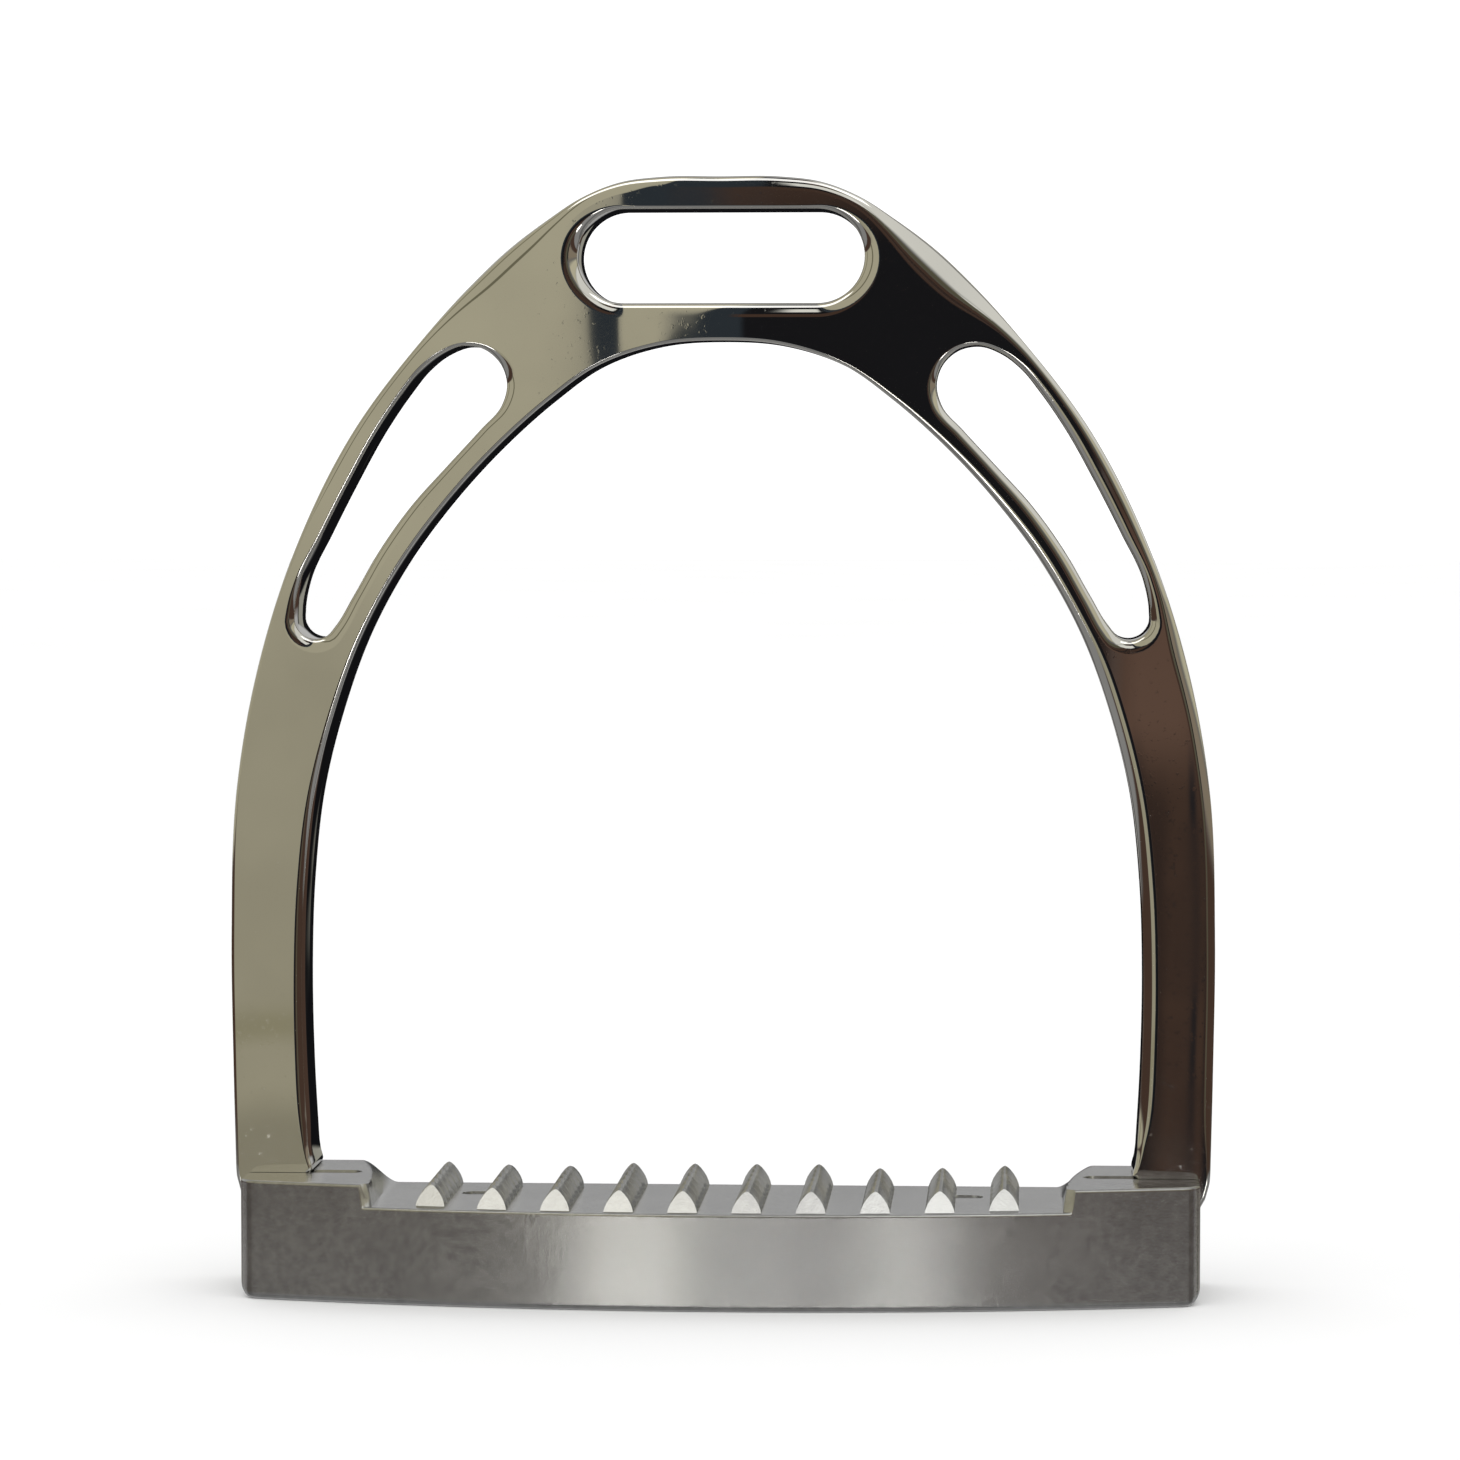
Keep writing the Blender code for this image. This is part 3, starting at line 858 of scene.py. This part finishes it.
def studio_floor():
    n = Nodes("studio_floor")
    place = n.object_place()
    tone = n.noise(place, 6.0, 3.0)
    colour = n.mix(tone, (0.86, 0.86, 0.86), (0.90, 0.90, 0.90))
    shader = n.add("ShaderNodeBsdfPrincipled")
    n.put(shader.inputs["Base Color"], colour)
    shader.inputs["Roughness"].default_value = 0.9
    out = n.add("ShaderNodeOutputMaterial")
    n.tree.links.new(shader.outputs["BSDF"], out.inputs["Surface"])
    return n.owner


# Studio

# The camera, the key light and the floor, in metres apart from FLOOR_GAP
CAMERA_PLACE = Vector((0.0445, -0.74275, 0.1186))
CAMERA_TARGET = Vector((0.001, 0.00725, 0.0808))
FOCAL_LENGTH = 128.65
SENSOR_WIDTH = 36.0

KEY_PLACE = Vector((-0.06, -0.70, 0.73))
KEY_TARGET = Vector((0.0, 0.0, 0.01))
KEY_SIZE = (0.8, 0.24)
KEY_POWER = 0.75

FLOOR_REACH = 6.0
FLOOR_GAP = 0.05
PLAIN_LIGHT = 1.2

KHAKI = (0.43, 0.405, 0.30)
SLATE = (0.026, 0.033, 0.041)
BLACK = (0.006, 0.006, 0.007)
BROWN = (0.075, 0.045, 0.033)
OLIVE = (0.16, 0.15, 0.10)
TAUPE = (0.24, 0.20, 0.15)
GREY = (0.30, 0.30, 0.30)
WHITE = (1.0, 0.985, 0.96)
PALE = (0.33, 0.325, 0.28)
MIST = (0.92, 0.92, 0.87)

# What the polished metal reflects: cards round the object, each given by its bearing from the
# front (positive to the right) and its height, in degrees, the softness of its edge, its colour
# and its brightness. Later cards cover earlier ones.
CARDS = [
    ((-180, 180), (-90, 90), 1, GREY, 0.45),
    ((-180, 180), (-90, -30), 4, GREY, 0.8),
    ((-180, 180), (60, 90), 4, GREY, 1.4),
    # left
    ((-130, -4.7), (-3, 66), 0.4, KHAKI, 1.0),
    ((-14, -4.7), (-8.3, 0), 0.3, KHAKI, 1.0),
    ((-14, -4.7), (-8.3, -1.5), 1.2, KHAKI, 0.82),
    ((-22, -18.5), (-3, 66), 0.5, OLIVE, 1.0),
    ((-52, -45), (-3, 66), 1.5, OLIVE, 1.4),
    ((-14, -4.7), (-6.25, -5.95), 0.12, OLIVE, 1.8),
    ((-14, -4.7), (-8.3, -7.0), 0.3, KHAKI, 0.62),
    # middle and right
    ((-4.7, 0.7), (-8.3, 60), 0.03, SLATE, 1.0),
    ((-3.1, 0.7), (-8.3, 60), 0.2, BLACK, 1.6),
    ((-3.5, 0.7), (2.8, 9), 0.4, BROWN, 0.8),
    ((0.7, 5.0), (-8.3, 60), 0.4, BROWN, 0.8),
    ((1.2, 1.36), (-8.3, 20), 0.03, BLACK, 1.5),
    ((1.62, 1.72), (-8.3, 20), 0.03, BLACK, 2.5),
    ((1.9, 2.3), (-8.3, 20), 0.05, BLACK, 2.0),
    ((0.9, 1.9), (-3.2, -0.5), 0.5, BROWN, 1.6),
    ((5.0, 9.0), (-8.3, 60), 1.0, OLIVE, 0.6),
    ((9.0, 12), (-3, 3), 1.0, BLACK, 1.0),
    ((12, 120), (-3, 3), 1.5, TAUPE, 1.0),
    ((-2.0, 9), (14, 24), 0.5, MIST, 0.9),
    ((9, 80), (14, 62), 3.0, MIST, 0.8),
    ((13, 80), (5, 14), 2.0, KHAKI, 1.2),
    # low strips that the footrest's front mirrors
    ((-60, 60), (-20, -8.1), 0.3, GREY, 0.85),
    ((-15, 17), (-16, -8.1), 0.3, GREY, 0.95),
    ((-12.6, -6.0), (-10.8, -8.4), 0.15, WHITE, 5.3),
    ((-0.9, 1.8), (-10.8, -8.4), 0.15, WHITE, 5.0),
    ((7.9, 11.6), (-10.8, -8.4), 0.15, WHITE, 7.2),
    # behind
    ((-170, -95), (-80, 66), 4, GREY, 1.4),
    ((95, 170), (-80, 66), 4, GREY, 1.4),
    ((108, 152), (-9, 44), 3, KHAKI, 1.0),
    ((-152, -112), (-9, 44), 3, MIST, 0.75),
    ((122, 128), (-40, 66), 1.2, SLATE, 1.5),
    ((-138, -132), (-40, 66), 1.2, SLATE, 2.0),
    ((-240, -166), (-80, -9.5), 2.0, GREY, 1.2),
    ((166, 240), (-80, -9.5), 2.0, GREY, 1.2),
    ((-240, -166), (-9.5, 5.5), 1.2, BLACK, 1.0),
    ((166, 240), (-9.5, 5.5), 1.2, BLACK, 1.0),
    ((168, 177), (-5.2, 5.5), 0.5, PALE, 0.9),
    ((-240, -166), (6, 50), 2.0, GREY, 1.7),
    ((166, 240), (6, 50), 2.0, GREY, 1.7),
    # a dark strip low down on both sides
    ((-165, -14), (-8.3, -3), 1.0, BROWN, 0.9),
    ((9, 167), (-8.3, -3), 1.0, BROWN, 0.9),
]


def between(n, value, low, high, soft):
    """1 where the value lies between low and high, fading to 0 past them."""
    rise = n.ramp(value, low - soft, low + soft)
    fall = n.ramp(value, high - soft, high + soft, 1.0, 0.0)
    return n.math("MULTIPLY", rise, fall)


def make_world():
    """Mirrors see the cards; everything else is lit by plain white."""
    n = Nodes("studio", world=True)
    direction = n.add("ShaderNodeTexCoord").outputs["Generated"]
    parts = n.add("ShaderNodeSeparateXYZ", None, Vector=direction)
    x, y, z = parts.outputs
    bearing = n.math("DEGREES", n.math("ARCTAN2", x, n.math("MULTIPLY", y, -1.0)))
    height = n.math("DEGREES", n.math("ARCSINE", z))
    colour = (0.2, 0.2, 0.2)
    for (left, right), (low, high), soft, tint, strength in CARDS:
        mask = between(n, height, low, high, soft)
        if right - left < 360:
            mask = n.math("MULTIPLY", mask, between(n, bearing, left, right, soft))
        colour = n.mix(mask, colour, tuple(c * strength for c in tint))
    shown = n.add("ShaderNodeLightPath")
    cards = n.add("ShaderNodeBackground", None, Color=colour, Strength=1.0)
    plain = n.add("ShaderNodeBackground", None, Color=(1.0, 1.0, 1.0), Strength=PLAIN_LIGHT)
    both = n.add("ShaderNodeMixShader")
    n.put(both.inputs[0], shown.outputs["Is Glossy Ray"])
    n.tree.links.new(plain.outputs[0], both.inputs[1])
    n.tree.links.new(cards.outputs[0], both.inputs[2])
    out = n.add("ShaderNodeOutputWorld")
    n.tree.links.new(both.outputs[0], out.inputs["Surface"])
    bpy.context.scene.world = n.owner


def make_floor():
    """A floor just under the object, left out of reflections, where the cards stand in for it."""
    mesh = bpy.data.meshes.new("studio_floor")
    corners = [(FLOOR_REACH * u, FLOOR_REACH * v, 0) for u, v in ((-1, -1), (1, -1), (1, 1), (-1, 1))]
    mesh.from_pydata(corners, [], [(0, 1, 2, 3)])
    mesh.materials.append(studio_floor())
    floor = add_object("studio_floor", mesh)
    floor.location.z = -FLOOR_GAP * MM
    floor.visible_glossy = False


def aim(obj, place, target):
    obj.location = place
    obj.rotation_euler = (target - place).to_track_quat("-Z", "Y").to_euler()


def make_key_light():
    data = bpy.data.lights.new("key", "AREA")
    data.shape = "RECTANGLE"
    data.size, data.size_y = KEY_SIZE
    data.energy = KEY_POWER
    aim(add_object("key", data), KEY_PLACE, KEY_TARGET)


def make_camera():
    data = bpy.data.cameras.new("camera")
    data.lens = FOCAL_LENGTH
    data.sensor_width = SENSOR_WIDTH
    data.clip_start = 0.01
    camera = add_object("camera", data)
    aim(camera, CAMERA_PLACE, CAMERA_TARGET)
    bpy.context.scene.camera = camera


def build():
    make_camera()
    make_world()
    make_floor()
    make_key_light()
    bow = make_bow(polished_steel())
    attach(bow, "root")
    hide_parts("bow")
    footrest = make_footrest(satin_aluminium())
    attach(footrest, "root")
    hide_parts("footrest")
    for kind, material in (("foot_screw", plated_steel()), ("lock_washer", spring_steel())):
        for side in ("left", "right"):
            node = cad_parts[f"{kind}_{side}"]
            node.data.materials.clear()
            node.data.materials.append(material)


build()
bpy.context.scene.view_settings.view_transform = "Standard"
